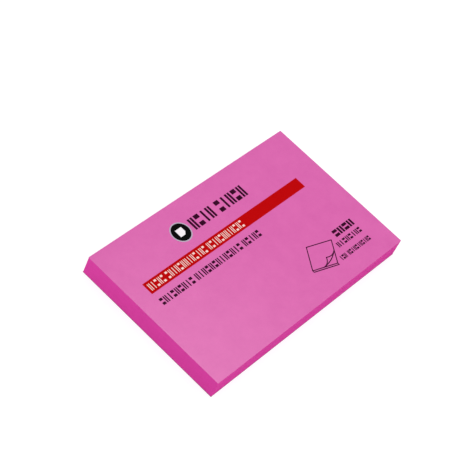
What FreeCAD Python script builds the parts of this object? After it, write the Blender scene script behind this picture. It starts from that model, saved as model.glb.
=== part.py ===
import FreeCAD, Part
import Sketcher
import os

# A pad of re-stickable notes, 127 x 76 mm, with a printed cover note.
# +X is the reading direction, along the long sides. +Y runs up the print to the long edge
# where the notes are glued. +Z is up. The origin is the middle of the underside.

doc = FreeCAD.newDocument("sticky_note_pad")

# Driving dimensions, in millimetres unless the words say otherwise.
SIZES = (
    ("pad_length", 127.0, "long side of a note"),
    ("pad_width", 76.0, "short side of a note"),
    ("blank_count", 99.0, "blank notes under the cover note, a plain count"),
    ("note_thickness", 0.1, "one note"),
    ("liner_thickness", 0.2, "coated sheet under the last note"),
    ("glue_width", 13.0, "glue strip, measured across the note"),
    ("glue_inset", 1.5, "glue strip to the edge it runs along"),
    ("glue_end_inset", 1.0, "glue strip to the short edges"),
    ("glue_thickness", 0.04, "glue strip"),
    ("ink_thickness", 0.04, "each printed layer"),
    ("banner_left", 9.1, "left edge to the banner"),
    ("banner_right", 15.4, "banner to the right edge"),
    ("banner_top", 23.1, "glued edge to the banner"),
    ("banner_height", 5.9, "banner"),
    ("banner_row_left", 1.4, "banner's left end to its row of marks"),
    ("banner_row_drop", 1.2, "banner's top to its row of marks"),
    ("banner_mark_height", 3.6, "mark on the banner"),
    ("banner_mark_pitch", 1.96, "mark on the banner to the next"),
    ("banner_mark_gap", 0.7, "clear space between marks on the banner"),
    ("banner_mark_slit", 1.7, "slit across a split mark on the banner"),
    ("banner_stroke", 0.37, "upright in a mark on the banner"),
    ("banner_word_gap", 1.0, "extra space between words on the banner"),
    ("subline_left", 9.4, "left edge to the row below the banner"),
    ("subline_drop", 3.4, "banner's foot to the row below it"),
    ("subline_mark_height", 3.5, "mark in the row below the banner"),
    ("subline_mark_pitch", 2.31, "mark in that row to the next"),
    ("subline_mark_gap", 0.6, "clear space between marks in that row"),
    ("subline_mark_slit", 1.0, "slit across a split mark in that row"),
    ("subline_stroke", 0.62, "upright in a mark in that row"),
    ("subline_word_gap", 1.1, "extra space between words in that row"),
    ("heading_left", 50.1, "left edge to the heading"),
    ("heading_top", 10.6, "glued edge to the heading"),
    ("heading_mark_height", 6.2, "mark in the heading"),
    ("heading_mark_pitch", 3.75, "mark in the heading to the next"),
    ("heading_mark_gap", 0.85, "clear space between marks in the heading"),
    ("heading_mark_slit", 1.9, "slit across a split heading mark"),
    ("heading_stroke", 1.15, "upright in a heading mark"),
    ("heading_word_gap", 2.2, "extra space between words in the heading"),
    ("emblem_gap", 1.6, "emblem to the heading"),
    ("emblem_radius", 5.2, "emblem with its rim"),
    ("emblem_rim", 0.55, "pale rim of the emblem"),
    ("emblem_note_side", 3.9, "small note drawn in the emblem"),
    ("emblem_note_cut", 1.2, "its cut corner"),
    ("column_right", 11.6, "right-hand column to the right edge"),
    ("bold_bottom", 19.2, "near edge to the bold row of the column"),
    ("bold_mark_height", 3.6, "mark in the bold row"),
    ("bold_mark_pitch", 3.46, "mark in the bold row to the next"),
    ("bold_mark_gap", 0.55, "clear space between bold marks"),
    ("bold_mark_slit", 0.8, "slit across a split bold mark"),
    ("bold_stroke", 1.15, "upright in a bold mark"),
    ("middle_drop", 1.9, "bold row to the middle row"),
    ("middle_mark_height", 2.7, "mark in the middle row"),
    ("middle_mark_pitch", 2.14, "mark in the middle row to the next"),
    ("middle_mark_gap", 0.5, "clear space between middle marks"),
    ("middle_mark_slit", 0.75, "slit across a split middle mark"),
    ("middle_stroke", 0.58, "upright in a middle mark"),
    ("small_drop", 3.1, "middle row to the small row"),
    ("small_mark_height", 2.4, "mark in the small row"),
    ("small_mark_pitch", 1.45, "mark in the small row to the next"),
    ("small_mark_gap", 0.3, "clear space between small marks"),
    ("small_mark_slit", 0.55, "slit across a split small mark"),
    ("small_stroke", 0.43, "upright in a small mark"),
    ("small_word_gap", 1.1, "extra space between words in the small row"),
    ("drawing_gap", 3.1, "drawn note's lower right corner to the small row"),
    ("drawing_bottom", 9.6, "near edge to the line drawing"),
    ("drawing_line", 0.44, "pen width of the line drawing"),
    ("drawn_side", 13.2, "run of the drawn note's lower edge"),
    ("drawn_fall", 4.0, "fall of that lower edge"),
    ("drawn_lean", 7.4, "lean of its left edge"),
    ("drawn_rise", 10.2, "rise of its left edge"),
    ("drawn_stack", 0.9, "thickness of the drawn pad"),
    ("curl_foot", 7.6, "drawn note's lower right corner to the curl, along the lower edge"),
    ("curl_side", 7.2, "the same corner to the curl, along the right edge"),
    ("curl_tip", 5.6, "the same corner to the tip of the turned-up paper"),
    ("curl_bulge", 1.0, "bow of the curl's three edges"),
)

# Rows of print: each word is a run of marks, w for a wide one of two uprights, n for a narrow
# one of a single upright, and s for a wide one that a slit splits into a lower and an upper bar.
BANNER_WORDS = "wnsws swnwswwnwsnws wsnwswwnwsws"
SUBLINE_WORDS = "swnswswns wnwswswnwswns wsnws"
HEADING_WORDS = "wsnw snwsw"
BOLD_WORDS = "swsw"
MIDDLE_WORDS = "wnswsnws"
SMALL_WORDS = "nsw wsnwsnwsnws"

dims = doc.addObject("Spreadsheet::Sheet", "dims")
for line, (alias, value, meaning) in enumerate(SIZES, start=1):
    dims.set(f"A{line}", meaning)
    dims.set(f"B{line}", str(value))
    dims.setAlias(f"B{line}", alias)
doc.recompute()

# Heights of the layers and places of the print, as expressions of the sheet's sizes.
BLOCK_BASE = "dims.liner_thickness"
GLUE_BASE = BLOCK_BASE + " + dims.blank_count * dims.note_thickness"
COVER_BASE = GLUE_BASE + " + dims.glue_thickness"
PRINT_BASE = COVER_BASE + " + dims.note_thickness"
OVERPRINT_BASE = PRINT_BASE + " + dims.ink_thickness"
LEFT_EDGE = "-dims.pad_length / 2"
RIGHT_EDGE = "dims.pad_length / 2"
GLUED_EDGE = "dims.pad_width / 2"
NEAR_EDGE = "-dims.pad_width / 2"
BANNER_FOOT = GLUED_EDGE + " - dims.banner_top - dims.banner_height"
BOLD_BOTTOM = NEAR_EDGE + " + dims.bold_bottom"
MIDDLE_BOTTOM = BOLD_BOTTOM + " - dims.middle_drop - dims.middle_mark_height"
SMALL_BOTTOM = MIDDLE_BOTTOM + " - dims.small_drop - dims.small_mark_height"
EMBLEM_X = LEFT_EDGE + " + dims.heading_left - dims.emblem_gap - dims.emblem_radius"
EMBLEM_Y = GLUED_EDGE + " - dims.heading_top - dims.heading_mark_height / 2"

# The two ends of a drawn line, and the origin that every outline is measured from.
START, END = 1, 2
ORIGIN = (-1, START)
nodes = []


def place(piece, x, y, z):
    """Binds a piece's placement to expressions of the sheet."""
    piece.setExpression("Placement.Base.x", x)
    piece.setExpression("Placement.Base.y", y)
    piece.setExpression("Placement.Base.z", z)


def sub_part(piece, node):
    """Names a finished piece and keeps it for the check and the files."""
    piece.Label = node
    nodes.append(piece)
    return piece


def outline_sketch(body, corners):
    """A closed outline on the body's own XY plane, through corners given as pairs of expressions."""
    sketch = body.newObject("Sketcher::SketchObject", body.Name + "_outline")
    plane = next(face for face in body.Origin.OriginFeatures if face.Role == "XY_Plane")
    sketch.AttachmentSupport = [(plane, "")]
    sketch.MapMode = "FlatFace"
    points = [FreeCAD.Vector(*(body.evalExpression(value) for value in corner)) for corner in corners]
    count = len(points)
    for index in range(count):
        sketch.addGeometry(Part.LineSegment(points[index], points[(index + 1) % count]), False)
    for index in range(count):
        sketch.addConstraint(Sketcher.Constraint("Coincident", index, END, (index + 1) % count, START))
    for index, corner in enumerate(corners):
        for kind, value in zip(("DistanceX", "DistanceY"), corner):
            size = body.evalExpression(value)
            number = sketch.addConstraint(Sketcher.Constraint(kind, *ORIGIN, index, START, size))
            sketch.setExpression(f"Constraints[{number}]", value)
    return sketch


def flat_layer(node, corners, thickness, base):
    """A layer of even thickness with a straight-sided outline, standing on the height base."""
    body = doc.addObject("PartDesign::Body", node)
    body.setExpression("Placement.Base.z", base)
    pad = body.newObject("PartDesign::Pad", node + "_pad")
    pad.Profile = outline_sketch(body, corners)
    pad.setExpression("Length", thickness)
    body.Tip = pad
    return sub_part(body, node)


def rectangle(left, right, bottom, top):
    """Corners of an upright rectangle."""
    return (left, bottom), (right, bottom), (right, top), (left, top)


def ink_block(name, left, bottom, width, height, base):
    """A rectangular field of ink."""
    block = doc.addObject("Part::Box", name)
    block.setExpression("Length", width)
    block.setExpression("Width", height)
    block.setExpression("Height", "dims.ink_thickness")
    place(block, left, bottom, base)
    return block


def along_row(row, marks, words):
    """The length of a row up to the mark that follows so many marks and so many ended words."""
    length = f"{marks} * dims.{row}_mark_pitch"
    return f"{length} + {words} * dims.{row}_word_gap" if words else length


def row_of_marks(node, words, row, left, bottom, base):
    """A printed row of marks: pairs of uprights, single uprights and pairs of bars."""
    full = f"(dims.{row}_mark_pitch - dims.{row}_mark_gap)"
    tall = f"dims.{row}_mark_height"
    stroke = f"dims.{row}_stroke"
    bar = f"({tall} - dims.{row}_mark_slit) / 2"
    blocks = []
    count = 0
    for word, run in enumerate(words.split()):
        for kind in run:
            name = f"{node}_{count + 1}"
            start = f"{left} + {along_row(row, count, word)}"
            if kind == "n":
                middle = f"{start} + ({full} - {stroke}) / 2"
                blocks.append(ink_block(name, middle, bottom, stroke, tall, base))
            elif kind == "s":
                upper = f"{bottom} + {tall} - {bar}"
                blocks.append(ink_block(name + "_lower", start, bottom, full, bar, base))
                blocks.append(ink_block(name + "_upper", start, upper, full, bar, base))
            else:
                second = f"{start} + {full} - {stroke}"
                blocks.append(ink_block(name + "_first", start, bottom, stroke, tall, base))
                blocks.append(ink_block(name + "_second", second, bottom, stroke, tall, base))
            count += 1
    group = doc.addObject("Part::Compound", node)
    group.Links = blocks
    return sub_part(group, node)


def right_aligned(words, row):
    """Left end of a row whose last mark ends at the right-hand column's edge."""
    runs = words.split()
    reach = along_row(row, sum(map(len, runs)), len(runs) - 1)
    return f"{RIGHT_EDGE} - dims.column_right - ({reach} - dims.{row}_mark_gap)"


# The coated sheet under the last note, which keeps the bottom strip of glue clean.
flat_layer(
    "liner_sheet",
    rectangle(LEFT_EDGE, RIGHT_EDGE, NEAR_EDGE, GLUED_EDGE),
    "dims.liner_thickness",
    "0",
)

# The blank notes, cut together and stuck to each other: one block.
flat_layer(
    "note_block",
    rectangle(LEFT_EDGE, RIGHT_EDGE, NEAR_EDGE, GLUED_EDGE),
    "dims.blank_count * dims.note_thickness",
    BLOCK_BASE,
)

# The strip of glue on the back of the cover note, along one long edge.
flat_layer(
    "glue_strip",
    rectangle(
        LEFT_EDGE + " + dims.glue_end_inset",
        RIGHT_EDGE + " - dims.glue_end_inset",
        GLUED_EDGE + " - dims.glue_inset - dims.glue_width",
        GLUED_EDGE + " - dims.glue_inset",
    ),
    "dims.glue_thickness",
    GLUE_BASE,
)

# The cover note, which carries the print.
flat_layer(
    "cover_note",
    rectangle(LEFT_EDGE, RIGHT_EDGE, NEAR_EDGE, GLUED_EDGE),
    "dims.note_thickness",
    COVER_BASE,
)

# The banner, a field of solid colour, with its row of pale marks printed over it.
flat_layer(
    "banner",
    rectangle(
        LEFT_EDGE + " + dims.banner_left",
        RIGHT_EDGE + " - dims.banner_right",
        BANNER_FOOT,
        GLUED_EDGE + " - dims.banner_top",
    ),
    "dims.ink_thickness",
    PRINT_BASE,
)
row_of_marks(
    "banner_marks",
    BANNER_WORDS,
    "banner",
    LEFT_EDGE + " + dims.banner_left + dims.banner_row_left",
    GLUED_EDGE + " - dims.banner_top - dims.banner_row_drop - dims.banner_mark_height",
    OVERPRINT_BASE,
)

# The dark rows of marks: below the banner, in the heading and in the right-hand column.
row_of_marks(
    "subline_marks",
    SUBLINE_WORDS,
    "subline",
    LEFT_EDGE + " + dims.subline_left",
    BANNER_FOOT + " - dims.subline_drop - dims.subline_mark_height",
    PRINT_BASE,
)
row_of_marks(
    "heading_marks",
    HEADING_WORDS,
    "heading",
    LEFT_EDGE + " + dims.heading_left",
    GLUED_EDGE + " - dims.heading_top - dims.heading_mark_height",
    PRINT_BASE,
)
COLUMN = (
    ("bold_marks", BOLD_WORDS, "bold", BOLD_BOTTOM),
    ("middle_marks", MIDDLE_WORDS, "middle", MIDDLE_BOTTOM),
    ("small_marks", SMALL_WORDS, "small", SMALL_BOTTOM),
)
for node, words, row, bottom in COLUMN:
    row_of_marks(node, words, row, right_aligned(words, row), bottom, PRINT_BASE)


def disc(name, radius, base):
    """A round field of ink about the emblem's centre."""
    field = doc.addObject("Part::Cylinder", name)
    field.setExpression("Radius", radius)
    field.setExpression("Height", "dims.ink_thickness")
    place(field, EMBLEM_X, EMBLEM_Y, base)
    return field


# The emblem: a dark disc in a pale rim, with a small note with a cut corner printed over it.
FIELD_RADIUS = "dims.emblem_radius - dims.emblem_rim"
sub_part(disc("emblem_disc", FIELD_RADIUS, PRINT_BASE), "emblem_disc")
rim = doc.addObject("Part::Cut", "emblem_rim")
rim.Base = disc("rim_outside", "dims.emblem_radius", PRINT_BASE)
rim.Tool = disc("rim_inside", FIELD_RADIUS, PRINT_BASE)
sub_part(rim, "emblem_rim")

half_note = "dims.emblem_note_side / 2"
flat_layer(
    "emblem_note",
    (
        (f"{EMBLEM_X} - {half_note}", f"{EMBLEM_Y} - {half_note}"),
        (f"{EMBLEM_X} + {half_note} - dims.emblem_note_cut", f"{EMBLEM_Y} - {half_note}"),
        (f"{EMBLEM_X} + {half_note}", f"{EMBLEM_Y} - {half_note} + dims.emblem_note_cut"),
        (f"{EMBLEM_X} + {half_note}", f"{EMBLEM_Y} + {half_note}"),
        (f"{EMBLEM_X} - {half_note}", f"{EMBLEM_Y} + {half_note}"),
    ),
    "dims.ink_thickness",
    OVERPRINT_BASE,
)

# The line drawing of a pad whose top note curls up at its lower right corner.
UP = FreeCAD.Vector(0, 0, 1)


def pen_line(start, end, through=None):
    """A stroke of the pen with round ends, straight or bent through a third point."""
    half = dims.drawing_line / 2
    if through is None:
        aside = (end - start).cross(UP).normalize() * half
        corners = [start + aside, end + aside, end - aside, start - aside, start + aside]
        edges = Part.makePolygon(corners).Edges
    else:
        points = (start, through, end)
        bend = Part.Arc(*points).toShape().Curve
        share = half / bend.Radius
        outer = [point + (point - bend.Center) * share for point in points]
        inner = [point - (point - bend.Center) * share for point in points]
        edges = [
            Part.Arc(*outer).toShape(),
            Part.LineSegment(outer[-1], inner[-1]).toShape(),
            Part.Arc(*reversed(inner)).toShape(),
            Part.LineSegment(inner[0], outer[0]).toShape(),
        ]
    band = Part.Face(Part.Wire(edges)).extrude(UP * dims.ink_thickness)
    return band.multiFuse([Part.makeCylinder(half, dims.ink_thickness, point) for point in (start, end)])


def toward(start, end, distance):
    """The point at a distance from start, on the way to end."""
    return start + (end - start).normalize() * distance


def drawn_pad():
    """The drawing's lines: a leaning note, the edge of the pad below it, and the curl."""
    left = FreeCAD.Vector(0, dims.drawn_fall, 0)
    corner = FreeCAD.Vector(dims.drawn_side, 0, 0)
    lean = FreeCAD.Vector(dims.drawn_lean, dims.drawn_rise, 0)
    down = FreeCAD.Vector(0, -dims.drawn_stack, 0)
    outline = (corner, corner + lean, left + lean, left, corner, corner + down, left + down, left)
    lines = [pen_line(start, end) for start, end in zip(outline, outline[1:])]
    foot = toward(corner, left, dims.curl_foot)
    side = toward(corner, corner + lean, dims.curl_side)
    tip = toward(corner, left + lean, dims.curl_tip)
    for start, end in ((foot, tip), (tip, side), (foot, side)):
        middle = (start + end) / 2
        lines.append(pen_line(start, end, toward(middle, corner, dims.curl_bulge)))
    return lines[0].multiFuse(lines[1:]).removeSplitter()


drawing = doc.addObject("Part::Feature", "line_drawing")
drawing.Shape = drawn_pad()
place(
    drawing,
    right_aligned(SMALL_WORDS, "small") + " - dims.drawing_gap - dims.drawn_side",
    NEAR_EDGE + " + dims.drawing_bottom",
    PRINT_BASE,
)
sub_part(drawing, "line_drawing")

doc.recompute()
for item in doc.Objects:
    if {"Invalid", "Error"} & set(item.State):
        raise RuntimeError(f"{item.Label} did not recompute")
for piece in nodes:
    if piece.Shape.isNull() or not piece.Shape.isValid():
        raise RuntimeError(f"{piece.Label} is not a valid shape")

os.makedirs("parts", exist_ok=True)
for piece in nodes:
    piece.Shape.exportStep(f"parts/{piece.Label}.step")
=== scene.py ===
import math

import bpy
import numpy as np
from mathutils import Matrix, Vector


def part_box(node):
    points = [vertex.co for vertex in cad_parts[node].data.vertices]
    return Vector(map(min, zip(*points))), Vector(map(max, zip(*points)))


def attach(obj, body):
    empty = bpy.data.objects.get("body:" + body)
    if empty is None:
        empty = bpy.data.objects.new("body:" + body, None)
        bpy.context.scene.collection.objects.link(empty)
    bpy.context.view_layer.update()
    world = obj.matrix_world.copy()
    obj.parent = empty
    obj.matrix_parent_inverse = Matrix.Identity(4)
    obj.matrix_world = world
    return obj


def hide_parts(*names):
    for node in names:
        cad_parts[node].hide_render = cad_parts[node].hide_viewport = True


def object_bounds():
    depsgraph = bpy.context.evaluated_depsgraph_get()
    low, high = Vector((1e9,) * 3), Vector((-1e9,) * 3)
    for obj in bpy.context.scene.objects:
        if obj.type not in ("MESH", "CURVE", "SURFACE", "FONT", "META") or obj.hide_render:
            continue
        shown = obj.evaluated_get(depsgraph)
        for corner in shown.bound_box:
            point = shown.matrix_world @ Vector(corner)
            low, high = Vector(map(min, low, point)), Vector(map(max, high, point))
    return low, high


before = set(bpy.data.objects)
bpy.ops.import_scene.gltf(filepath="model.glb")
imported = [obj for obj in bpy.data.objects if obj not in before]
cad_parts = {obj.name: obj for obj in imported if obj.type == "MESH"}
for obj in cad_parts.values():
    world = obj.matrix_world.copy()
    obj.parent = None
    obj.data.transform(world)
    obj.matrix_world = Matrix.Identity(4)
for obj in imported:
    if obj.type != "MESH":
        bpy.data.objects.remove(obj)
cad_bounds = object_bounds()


# The coated sheet under the pad: a thin, dyed release paper with a silicone coat, cut together
# with the notes. The last note's glue clings to it lightly, and peels off it clean. Its CAD
# plate is already the right shape, so here it gets its finish.

MM = 0.001                    # a millimetre in metres, the frame's unit


def linear(hex_colour):
    """An sRGB hex colour as linear red, green, blue and alpha."""
    share = np.array([int(hex_colour[i:i + 2], 16) for i in (1, 3, 5)]) / 255.0
    rgb = np.where(share <= 0.04045, share / 12.92, ((share + 0.055) / 1.055) ** 2.4)
    return (*rgb.tolist(), 1.0)


def add_node(tree, kind, settings=None, links=None):
    """Adds one node to a tree. Settings go to the node's own properties by name, or to an
    input's value by the input's name or number, and links join outputs to inputs."""
    node = tree.nodes.new(kind)
    for key, value in (settings or {}).items():
        if isinstance(key, str) and hasattr(node, key):
            setattr(node, key, value)
        else:
            node.inputs[key].default_value = value
    for key, output in (links or {}).items():
        tree.links.new(output, node.inputs[key])
    return node


def new_finish(name):
    """An empty material with its output node: (material, tree, output, object coordinates)."""
    material = bpy.data.materials.new(name)
    material.use_nodes = True
    tree = material.node_tree
    tree.nodes.clear()
    output = add_node(tree, "ShaderNodeOutputMaterial")
    place = add_node(tree, "ShaderNodeTexCoord").outputs["Object"]
    return material, tree, output, place


def dress(node_name, material):
    """Gives a carried-over CAD node a finish, in every material slot that it has."""
    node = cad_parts[node_name]
    if not node.material_slots:
        node.data.materials.append(material)
    for holder in node.material_slots:
        holder.material = material


def release_paper():
    """Silicone-coated release paper: a dull mauve with a low, slightly uneven gloss."""
    clouding = 4.0 * MM      # width of the clouds that the coater leaves
    relief = 0.01 * MM       # and their height
    material, tree, output, place = new_finish("release_paper")
    cloud = add_node(tree, "ShaderNodeTexNoise", {"Scale": 1 / clouding, "Detail": 4.0},
                     {"Vector": place})
    # darker than the notes, so that its edge draws a thin dark line along the pad's foot
    colour = add_node(tree, "ShaderNodeMix", {"data_type": "RGBA", 6: linear("#98527A"),
                                              7: linear("#A65C88")}, {0: cloud.outputs["Fac"]})
    gloss = add_node(tree, "ShaderNodeMapRange", {"To Min": 0.4, "To Max": 0.52},
                     {"Value": cloud.outputs["Fac"]})
    bump = add_node(tree, "ShaderNodeBump", {"Strength": 0.25, "Distance": relief},
                    {"Height": cloud.outputs["Fac"]})
    shader = add_node(tree, "ShaderNodeBsdfPrincipled", {"IOR": 1.43},
                      {"Base Color": colour.outputs[2], "Roughness": gloss.outputs[0],
                       "Normal": bump.outputs[0]})
    tree.links.new(shader.outputs[0], output.inputs["Surface"])
    return material


dress("liner_sheet", release_paper())


# The block of notes: 99 sheets of pulp-dyed paper, each 0.1 mm thick. They are piled with their
# glue strips along the far long edge and cut to size in one stroke of a guillotine. The glue
# holds them tight there, and at the free edges they stand a hair apart and out of line.

NOTES = 99
CORNER_RADIUS = 0.25 * MM     # a guillotined corner, worn a little by handling
GROOVE_SHARE = 0.28           # how much of a note's height the gap above it takes
GROOVE_DEPTH = 0.09 * MM      # how far in the gap shows at the free edge
GRIP = 0.25                   # share of that depth which is left at the glued edge
SETBACK = 0.055 * MM          # how far inside the CAD block the edges lie, so that none strays out
LAGGING = 0.08                # share of the notes that were pulled back further,
LAG = 0.035 * MM              # by this much
LONG_STEPS = 40               # steps of a sheet's outline along each long side
SHORT_STEPS = 24              # and along each short one
BAKE_PIXELS = 1024            # width and height of the square image that the pile's flat map is laid out for
BAKE_ROWS = 4                 # rows of its pixels for each note
BAKE_SPACE = 8                # rows of its pixels between two bands


def sheet_outline(corner_steps):
    """One turn round a square-cut sheet, anticlockwise from above. Gives each point's share of
    the half-length and half-width, -1 to 1, and its outward direction. Round a corner the
    shares stay and the direction turns a quarter circle; along a side it is the other way."""
    signs = [(1, -1), (1, 1), (-1, 1), (-1, -1)]
    share_x, share_y, angle = [], [], []
    for turn, (sx, sy) in enumerate(signs):
        next_x, next_y = signs[(turn + 1) % 4]
        steps = SHORT_STEPS if next_x == sx else LONG_STEPS
        along = np.arange(1, steps) / steps
        bend = (turn - 1 + np.linspace(0, 1, corner_steps + 1)) * math.pi / 2
        share_x += [np.full(bend.size, sx), sx + (next_x - sx) * along]
        share_y += [np.full(bend.size, sy), sy + (next_y - sy) * along]
        angle += [bend, np.full(along.size, turn * math.pi / 2)]
    share_x, share_y, angle = (np.concatenate(a) for a in (share_x, share_y, angle))
    return share_x, share_y, np.cos(angle), np.sin(angle)


def closed_rings(name, points):
    """A closed solid from rings of points, lowest ring first: each ring is joined to the next
    by a band of quads, and the first and last rings are closed by one flat face each."""
    rings, steps = points.shape[:2]
    here = np.arange(rings * steps).reshape(rings, steps)
    after = np.roll(here, -1, axis=1)
    bands = np.stack([here[:-1], after[:-1], after[1:], here[1:]], axis=-1).reshape(-1, 4)
    faces = bands.tolist() + [here[0, ::-1].tolist(), here[-1].tolist()]
    mesh = bpy.data.meshes.new(name)
    mesh.from_pydata(points.reshape(-1, 3).tolist(), [], faces)
    mesh.validate()
    piece = bpy.data.objects.new(name, mesh)
    bpy.context.scene.collection.objects.link(piece)
    return piece


def strayed(chance, spread, most):
    """A random shift for each note, in metres: a normal draw of the given spread, cut off at
    the most that is given, both of them in millimetres."""
    return chance.normal(0.0, spread, NOTES).clip(-most, most) * MM


def lay_flat(mesh, points):
    """Lays the faces of closed_rings out on a flat map for the pile's finish. Each half of the
    way round is a band of its own: the share of the way along it goes across the map, and the
    share of the pile's height goes up it. A band has whole rows of pixels for each note, so that
    no note is lost between two. The two lids, which are hidden in the pad, lie side by side
    above the bands."""
    lid_size, lid_foot, lid_lefts = (0.48, 0.18), 0.81, (0.01, 0.51)    # shares of the map
    steps = points.shape[1]
    half = steps // 2
    stride = np.linalg.norm(np.diff(points[0, :half + 1, :2], axis=0), axis=1)
    way = np.concatenate([[0.0], np.cumsum(stride)]) / stride.sum()
    step = np.arange(steps)
    near, far = way[step % half], way[step % half + 1]
    across = np.stack([near, far, far, near], axis=-1)

    band_rows = NOTES * BAKE_ROWS
    foot = (BAKE_SPACE / 2 + step // half * (band_rows + BAKE_SPACE)) / BAKE_PIXELS
    rise = (points[:, :1, 2] - points[0, 0, 2]) / (points[-1, 0, 2] - points[0, 0, 2])
    lower, upper = rise[:-1], rise[1:]
    height = band_rows / BAKE_PIXELS * np.stack([lower, lower, upper, upper], axis=-1)
    up = foot[:, None] + height
    walls = np.stack([np.broadcast_to(across, up.shape), up], axis=-1).reshape(-1, 2)

    lids = []
    for left, lid in zip(lid_lefts, (points[0, ::-1, :2], points[-1, :, :2])):
        share = (lid - lid.min(axis=0)) / np.ptp(lid, axis=0)
        lids.append((left, lid_foot) + lid_size * share)
    layer = mesh.uv_layers.new(name="OFBake")     # the flat map, under its own name
    layer.uv.foreach_set("vector", np.concatenate([walls, *lids]).astype(np.float32).ravel())


def note_stack():
    """The cut faces of the pile. A note is three rings: its lower edge, its upper edge, and the
    middle of the gap above it, which is drawn in further, and the most where the notes lie
    loose. A point sits at share times (half size less the corner radius, less how far its ring
    is drawn in), plus the radius along its outward direction. To x comes the note's swing,
    which is nought at the glued edge and whole at the free one, and to y its creep."""
    chance = np.random.default_rng(seed=7)
    low, high = (np.array(corner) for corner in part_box("note_block"))
    half_x, half_y = (high - low)[:2] / 2
    pitch = (high[2] - low[2]) / NOTES
    share_x, share_y, out_x, out_y = sheet_outline(corner_steps=4)
    looseness = 0.5 - 0.5 * share_y

    setback = SETBACK + strayed(chance, spread=0.007, most=0.015)
    setback += np.where(chance.random(NOTES) < LAGGING, LAG, 0.0)
    swing = strayed(chance, spread=0.012, most=0.03)
    creep = strayed(chance, spread=0.006, most=0.012)
    setback, swing, creep = (np.repeat(shift, 3)[:, None] for shift in (setback, swing, creep))

    gap_depth = GROOVE_DEPTH * (GRIP + (1 - GRIP) * looseness)
    drawn_in = setback + np.tile([0.0, 0.0, 1.0], NOTES)[:, None] * gap_depth
    x = share_x * (half_x - CORNER_RADIUS - drawn_in) + CORNER_RADIUS * out_x + swing * looseness
    y = share_y * (half_y - CORNER_RADIUS - drawn_in) + CORNER_RADIUS * out_y + creep
    floor_of_note = low[2] + pitch * np.arange(NOTES)[:, None]
    heights = floor_of_note + pitch * np.array([0.0, 1 - GROOVE_SHARE, 1 - GROOVE_SHARE / 2])
    z = np.broadcast_to(heights.reshape(-1, 1), x.shape).copy()
    z[-1] = high[2]          # the last ring closes the pile at the block's full height

    points =np.stack([x, y, z], axis=-1)
    piece = closed_rings("note_stack", points)
    lay_flat(piece.data, points)
    return piece


def cut_note_edges():
    """Guillotined edges of pulp-dyed paper: quite matt, and deeper in colour than the face of the
    same paper, which is painted shade for the light that is caught between the fibres and the
    notes. Each note differs a little in tone, and faint upright streaks show where the knife had
    nicks."""
    nick = 0.9 * MM          # spacing of the knife's nicks, drawn coarse enough to show
    nick_relief = 0.02 * MM  # how deep a nick's streak is
    nick_squeeze = 0.03      # and it is some 33 times as tall as it is wide
    band = 1.1 * MM          # height of the bands where several notes took the dye alike
    band_squeeze = 0.04      # and a band is 25 times as long as it is high
    low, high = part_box("note_block")
    pitch = (high[2] - low[2]) / NOTES
    material, tree, output, place = new_finish("cut_note_edges")

    axes = add_node(tree, "ShaderNodeSeparateXYZ", links={0: place})
    up = add_node(tree, "ShaderNodeMath", {"operation": "SUBTRACT", 1: low[2]},
                  {0: axes.outputs[2]})
    count = add_node(tree, "ShaderNodeMath", {"operation": "DIVIDE", 1: pitch},
                     {0: up.outputs[0]})
    number = add_node(tree, "ShaderNodeMath", {"operation": "FLOOR"}, {0: count.outputs[0]})
    tone = add_node(tree, "ShaderNodeTexWhiteNoise", {"noise_dimensions": "1D"},
                    {"W": number.outputs[0]})

    flat = add_node(tree, "ShaderNodeMapping", {"Scale": (band_squeeze, band_squeeze, 1.0)},
                    {"Vector": place})
    bands = add_node(tree, "ShaderNodeTexNoise", {"Scale": 1 / band, "Detail": 3.0},
                     {"Vector": flat.outputs[0]})
    upright = add_node(tree, "ShaderNodeMapping", {"Scale": (1.0, 1.0, nick_squeeze)},
                       {"Vector": place})
    nicks = add_node(tree, "ShaderNodeTexNoise", {"Scale": 1 / nick, "Detail": 4.0},
                     {"Vector": upright.outputs[0]})

    # tone, bands and nicks count alike, and their sum mostly lies between 0.6 and 2.4
    both = add_node(tree, "ShaderNodeMath", {"operation": "ADD"},
                    {0: tone.outputs["Value"], 1: bands.outputs["Fac"]})
    all_three = add_node(tree, "ShaderNodeMath", {"operation": "ADD"},
                         {0: both.outputs[0], 1: nicks.outputs["Fac"]})
    share = add_node(tree, "ShaderNodeMapRange", {"From Min": 0.6, "From Max": 2.4},
                     {"Value": all_three.outputs[0]})
    # the dye's pink, deepened by painted shade for the light caught between the notes
    colour = add_node(tree, "ShaderNodeMix", {"data_type": "RGBA", 6: linear("#DC41A6"),
                                              7: linear("#E547AE")}, {0: share.outputs[0]})
    bump = add_node(tree, "ShaderNodeBump", {"Strength": 0.3, "Distance": nick_relief},
                    {"Height": nicks.outputs["Fac"]})
    shader = add_node(tree, "ShaderNodeBsdfPrincipled",
                      {"Roughness": 0.9, "Specular IOR Level": 0.15},
                      {"Base Color": colour.outputs[2], "Normal": bump.outputs[0]})
    tree.links.new(shader.outputs[0], output.inputs["Surface"])
    return material


stack = note_stack()
stack.data.materials.append(cut_note_edges())
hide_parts("note_block")
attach(stack, "root")


# The strip of re-stickable glue on the back of the cover note: a thin coat of acrylic beads that
# dries milky and slightly uneven. It is brushed on along the far long edge. The CAD strip is the
# right shape, and only its edge can be seen, from behind.

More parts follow.
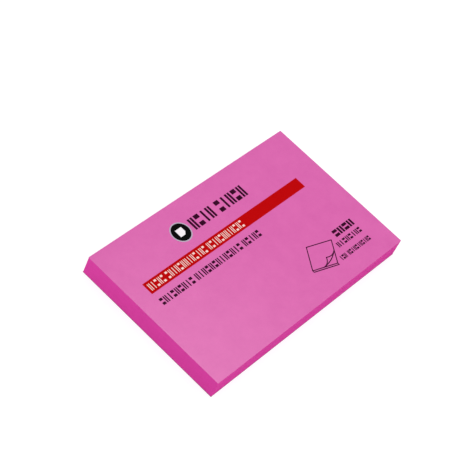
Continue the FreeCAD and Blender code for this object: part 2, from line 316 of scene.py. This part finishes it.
def acrylic_beads():
    """A dried coat of acrylic adhesive: milky, soft in gloss, pimpled by its tiny beads."""
    bead = 0.12 * MM         # a cluster of beads, the size at which the coat looks grainy
    relief = 0.03 * MM       # how far a cluster stands up
    material, tree, output, place = new_finish("acrylic_beads")
    beads = add_node(tree, "ShaderNodeTexVoronoi", {"Scale": 1 / bead}, {"Vector": place})
    colour = add_node(tree, "ShaderNodeMix",
                      {"data_type": "RGBA", 6: linear("#E9D3E0"), 7: linear("#DDB9CF")},
                      {0: beads.outputs["Distance"]})
    bump = add_node(tree, "ShaderNodeBump",
                    {"Strength": 0.5, "Distance": relief, "invert": True},
                    {"Height": beads.outputs["Distance"]})
    shader = add_node(tree, "ShaderNodeBsdfPrincipled", {"Roughness": 0.45, "IOR": 1.47},
                      {"Base Color": colour.outputs[2], "Normal": bump.outputs[0]})
    tree.links.new(shader.outputs[0], output.inputs["Surface"])
    return material


dress("glue_strip", acrylic_beads())


# The cover note: the top sheet, of the same dyed paper as the notes, with its print on it. Its
# glue strip holds it by the far long edge. The knife pressed its edges down a little as it cut,
# so the last millimetre or so of the face rolls over towards the edge.

EDGE_ROLL = 0.03 * MM         # how far the pressed edge drops
ROLL_WIDTH = 1.3 * MM         # how far in from the edge the drop begins
CUT_ROUND = 0.025 * MM        # radius of the cut edge's two corners
CREASE = math.radians(35)     # a bend sharper than this stays an edge in the shading


def cover_sheet():
    """A closed plate as rings of the sheet's outline. Going from the middle of the underside
    out to the edge, up it and back to the middle of the face, a ring at distance d from the
    edge lies lower than flat by the roll times (1 - d / width) squared, and the cut edge's
    two corners are rounded by a quarter circle."""
    low, high = (np.array(corner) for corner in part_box("cover_note"))
    half_x, half_y = (high - low)[:2] / 2
    # from the flat middle to the edge, closer together where the roll is steeper
    inward = np.array([3.0, 1.3, 1.0, 0.75, 0.5, 0.3, 0.15, 0.05]) * MM
    bend = np.linspace(0, math.pi / 2, 4)
    corner_in = CUT_ROUND * (1 - np.sin(bend))
    corner_up = CUT_ROUND * (1 - np.cos(bend))
    distance = np.concatenate([inward, corner_in, corner_in[::-1], inward[::-1]])
    lift = np.concatenate([np.full(inward.size, low[2]), low[2] + corner_up,
                           high[2] - corner_up[::-1], np.full(inward.size, high[2])])
    drop = EDGE_ROLL * np.clip(1 - distance / ROLL_WIDTH, 0, 1) ** 2
    share_x, share_y, out_x, out_y = sheet_outline(corner_steps=6)
    x = share_x * (half_x - CORNER_RADIUS - distance[:, None]) + CORNER_RADIUS * out_x
    y = share_y * (half_y - CORNER_RADIUS - distance[:, None]) + CORNER_RADIUS * out_y
    z = np.broadcast_to((lift - drop)[:, None], x.shape)
    piece = closed_rings("cover_sheet", np.stack([x, y, z], axis=-1))
    piece.data.polygons.foreach_set("use_smooth", np.ones(len(piece.data.polygons), bool))
    piece.data.set_sharp_from_angle(angle=CREASE)
    return piece


def paper_tooth(tree, place):
    """The relief of uncoated paper, as one height: short fibres that mostly lie along the
    sheet's long side, over the softer clumps in which they settled on the wire."""
    fibre = 0.3 * MM         # real fibres are some 0.03 mm wide; drawn wider so that they show
    fibre_squeeze = 0.3      # and about three times as long as they are wide
    clump = 1.6 * MM         # width of the clumps
    clump_share = 0.45       # how much of the height is theirs
    laid = add_node(tree, "ShaderNodeMapping", {"Scale": (fibre_squeeze, 1.0, 1.0)},
                    {"Vector": place})
    fibres = add_node(tree, "ShaderNodeTexNoise",
                      {"Scale": 1 / fibre, "Detail": 4.0, "Distortion": 0.6},
                      {"Vector": laid.outputs[0]})
    clumps = add_node(tree, "ShaderNodeTexNoise", {"Scale": 1 / clump, "Detail": 3.0},
                      {"Vector": place})
    return add_node(tree, "ShaderNodeMix", {"data_type": "FLOAT", 0: clump_share},
                    {2: fibres.outputs["Fac"], 3: clumps.outputs["Fac"]}).outputs[0]


def dyed_paper_and_painted_sheen():
    """Uncoated pulp-dyed paper, lightly pressed: a bright pink face with a faint clouding and
    tooth.
    It is the notes' own paper, and its pink is paler than the cut edges' pink by a painted
    sheen: the whitish glaze that the face's shine lays over the dye."""
    cloud_size = 7.0 * MM    # width of the patches in which the dye took a little deeper
    relief = 0.06 * MM       # height of the tooth, drawn deeper than it is so that it shows
    material, tree, output, place = new_finish("dyed_paper_and_painted_sheen")
    tooth = paper_tooth(tree, place)
    cloud = add_node(tree, "ShaderNodeTexNoise", {"Scale": 1 / cloud_size, "Detail": 2.0},
                     {"Vector": place})
    # tooth and cloud count alike, and together they mostly lie between 0.3 and 0.7
    mottle = add_node(tree, "ShaderNodeMix", {"data_type": "FLOAT", 0: 0.5},
                      {2: tooth, 3: cloud.outputs["Fac"]})
    share = add_node(tree, "ShaderNodeMapRange", {"From Min": 0.3, "From Max": 0.7},
                     {"Value": mottle.outputs[0]})
    # the dye's pink with a painted sheen over it, paler than the cut edges' pink
    colour = add_node(tree, "ShaderNodeMix", {"data_type": "RGBA", 6: linear("#CE4FA1"),
                                              7: linear("#D659A8")}, {0: share.outputs[0]})
    gloss = add_node(tree, "ShaderNodeMapRange", {"To Min": 0.26, "To Max": 0.34},
                     {"Value": tooth})
    bump = add_node(tree, "ShaderNodeBump", {"Strength": 0.6, "Distance": relief},
                    {"Height": tooth})
    shader = add_node(tree, "ShaderNodeBsdfPrincipled", {"IOR": 1.5},
                      {"Base Color": colour.outputs[2], "Roughness": gloss.outputs[0],
                       "Normal": bump.outputs[0]})
    tree.links.new(shader.outputs[0], output.inputs["Surface"])
    return material


cover = cover_sheet()
cover.data.materials.append(dyed_paper_and_painted_sheen())
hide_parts("cover_note")
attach(cover, "root")


# The print on the cover: offset ink, laid by rollers as flat fields and plain rows of marks, a
# round emblem and a small drawing of a pad. Ink sinks into uncoated paper, so the paper's tooth
# shows through it and it is thinner on the high fibres. The CAD shapes of the print stay.

def printed_ink(name, thick, thin, roughness, specular):
    """Offset ink on uncoated paper: its full colour in the hollows, and a thin one on the high
    fibres, where it is also rougher, with the paper's tooth left in its surface."""
    relief = 0.015 * MM      # what the ink leaves of the tooth
    material, tree, output, place = new_finish(name)
    tooth = paper_tooth(tree, place)
    # the tooth is mostly near 0.5, so the ink is nearer to its full colour than to its thin one
    bareness = add_node(tree, "ShaderNodeMapRange", {"From Min": 0.35, "From Max": 0.75},
                        {"Value": tooth})
    colour = add_node(tree, "ShaderNodeMix",
                      {"data_type": "RGBA", 6: linear(thick), 7: linear(thin)},
                      {0: bareness.outputs[0]})
    gloss = add_node(tree, "ShaderNodeMapRange",
                     {"To Min": roughness - 0.06, "To Max": roughness + 0.08},
                     {"Value": tooth})
    bump = add_node(tree, "ShaderNodeBump", {"Strength": 0.25, "Distance": relief},
                    {"Height": tooth})
    shader = add_node(tree, "ShaderNodeBsdfPrincipled",
                      {"IOR": 1.5, "Specular IOR Level": specular},
                      {"Base Color": colour.outputs[2], "Roughness": gloss.outputs[0],
                       "Normal": bump.outputs[0]})
    tree.links.new(shader.outputs[0], output.inputs["Surface"])
    return material


# red banner: a solid field of full colour, with hardly any sheen
dress("banner", printed_ink("red_field_ink", "#B50003", "#BD0205",
                            roughness=0.5, specular=0.02))

# the row on the banner: white laid over the red, which warms it a little
dress("banner_marks", printed_ink("white_over_red_ink", "#F8D8D2", "#EFC7C1",
                                  roughness=0.6, specular=0.2))

# dark rows: a black that the pink below warms to a purple
dark = printed_ink("dark_row_ink", "#2A021C", "#400A2E", roughness=0.6, specular=0.02)
for part in ("subline_marks", "heading_marks", "bold_marks", "middle_marks", "small_marks",
             "line_drawing"):
    dress(part, dark)

# the emblem: a dense black disc in a pale grey rim, with a small note in opaque white on it
dress("emblem_disc", printed_ink("dense_black_ink", "#020202", "#060506",
                                 roughness=0.5, specular=0.02))
dress("emblem_rim", printed_ink("pale_grey_ink", "#BBAEC0", "#AC9CB2",
                                roughness=0.6, specular=0.2))
dress("emblem_note", printed_ink("opaque_white_ink", "#F4EEF2", "#EBDFE7",
                                 roughness=0.6, specular=0.2))


# The table: a wide white sweep that the pad lies on. It isn't part of the pad. It is plain white
# to the lens, but still takes the pad's soft shadow and bounces plain light back on to it.

REACH = 3.0                   # metres each way from the pad, so that no edge of it is in view
HAIR = 0.05 * MM              # just under the pad, so that the two faces don't lie in one


def seen_by_eye(tree):
    """1 for rays that come from the lens, a mirror or glass, and 0 for the rest."""
    path = add_node(tree, "ShaderNodeLightPath")
    direct = add_node(tree, "ShaderNodeMath", {"operation": "MAXIMUM"},
                      {0: path.outputs["Is Camera Ray"], 1: path.outputs["Is Glossy Ray"]})
    return add_node(tree, "ShaderNodeMath", {"operation": "MAXIMUM"},
                    {0: direct.outputs[0], 1: path.outputs["Is Transmission Ray"]}).outputs[0]


def white_sweep():
    """Matt white paper sweep. For the light that it bounces it is a plain matt white. For the
    eye it is mostly a glow of its own, and the grey under the glow sends back just enough of
    the room's light to make it white, or a little less in the pad's shadow."""
    material, tree, output, _ = new_finish("white_sweep")
    bounce = add_node(tree, "ShaderNodeBsdfDiffuse", {"Color": linear("#E8E8E8")})
    shown = add_node(tree, "ShaderNodeBsdfDiffuse", {"Color": linear("#A0A0A0")})
    glow = add_node(tree, "ShaderNodeEmission", {"Strength": 0.75})
    lit = add_node(tree, "ShaderNodeAddShader", links={0: shown.outputs[0], 1: glow.outputs[0]})
    mix = add_node(tree, "ShaderNodeMixShader",
                   links={0: seen_by_eye(tree), 1: bounce.outputs[0], 2: lit.outputs[0]})
    tree.links.new(mix.outputs[0], output.inputs["Surface"])
    return material


table_mesh = bpy.data.meshes.new("table")
table_mesh.from_pydata([(-REACH, -REACH, -HAIR), (REACH, -REACH, -HAIR),
                        (REACH, REACH, -HAIR), (-REACH, REACH, -HAIR)], [], [(0, 1, 2, 3)])
table = bpy.data.objects.new("table", table_mesh)
bpy.context.scene.collection.objects.link(table)
table.data.materials.append(white_sweep())


# The light: a plain white room and two weak soft boxes. A wide one stands on the camera's side,
# and a small one hangs beyond the pad, with its sheen on the paper strongest at the corner that
# is nearest to the camera.

AMBIENT = 0.81                # the room's strength for the pad; to the eye it is white, 1.0

world = bpy.data.worlds.new("white_room")
bpy.context.scene.world = world
world.use_nodes = True
world.node_tree.nodes.clear()
strength = add_node(world.node_tree, "ShaderNodeMapRange", {"To Min": AMBIENT, "To Max": 1.0},
                    {"Value": seen_by_eye(world.node_tree)})
room = add_node(world.node_tree, "ShaderNodeBackground", {"Color": (1.0, 1.0, 1.0, 1.0)},
                {"Strength": strength.outputs[0]})
add_node(world.node_tree, "ShaderNodeOutputWorld", links={"Surface": room.outputs[0]})


def soft_box(name, place, aim, size, watts):
    """A square area lamp at a place, turned to face the point that it aims at, in metres."""
    lamp = bpy.data.lights.new(name, "AREA")
    lamp.size, lamp.energy = size, watts
    holder = bpy.data.objects.new(name, lamp)
    holder.location = place
    holder.rotation_euler = (Vector(aim) - Vector(place)).to_track_quat("-Z", "Y").to_euler()
    bpy.context.scene.collection.objects.link(holder)


near_corner = (*cad_bounds[0][:2], 10.0 * MM)     # about the height of the cover note
soft_box("near_soft_box", place=(-0.45, -0.40, 0.55), aim=(-0.03, -0.02, 0.0),
         size=0.6, watts=1.3)
soft_box("glare_box", place=(0.14, 0.04, 0.365), aim=near_corner, size=0.16, watts=0.23)


# The camera: at the photograph's angle, and turned a little about its own axis, so that a pad of
# the real proportions fills the outline that the photograph shows.

AZIMUTH, ELEVATION, ROLL = math.radians(-68.331), math.radians(47.906), math.radians(26.793)
FOCAL_PX, FRAME_PX = 1686.0, 466.0            # focal length and picture's width, in pixels
SENSOR = 36.0                                 # its width in millimetres, as Blender wants it
DISTANCE = 729.1 * MM                         # from the middle of the pad, along the view
SLIDE_X, SLIDE_Y = 6.374 * MM, -9.767 * MM    # the pad's place right of and above the centre
CLIP_NEAR, CLIP_FAR = 0.01, 20.0              # in metres

back = Vector((math.sin(AZIMUTH) * math.cos(ELEVATION), -math.cos(AZIMUTH) * math.cos(ELEVATION),
               math.sin(ELEVATION)))
level = Vector((0, 0, 1)).cross(back).normalized()
upward = back.cross(level)
right = level * math.cos(ROLL) + upward * math.sin(ROLL)
above = upward * math.cos(ROLL) - level * math.sin(ROLL)
middle = Vector((0, 0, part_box("cover_note")[1][2] / 2))
lens = bpy.data.cameras.new("camera")
lens.sensor_width = SENSOR
lens.lens = FOCAL_PX / FRAME_PX * SENSOR
lens.clip_start, lens.clip_end = CLIP_NEAR, CLIP_FAR
camera = bpy.data.objects.new("camera", lens)
stand = Matrix((right, above, back)).transposed().to_4x4()
stand.translation = middle + back * DISTANCE - right * SLIDE_X - above * SLIDE_Y
camera.matrix_world = stand
bpy.context.scene.collection.objects.link(camera)
bpy.context.scene.camera = camera
bpy.context.scene.view_settings.view_transform = "Standard"
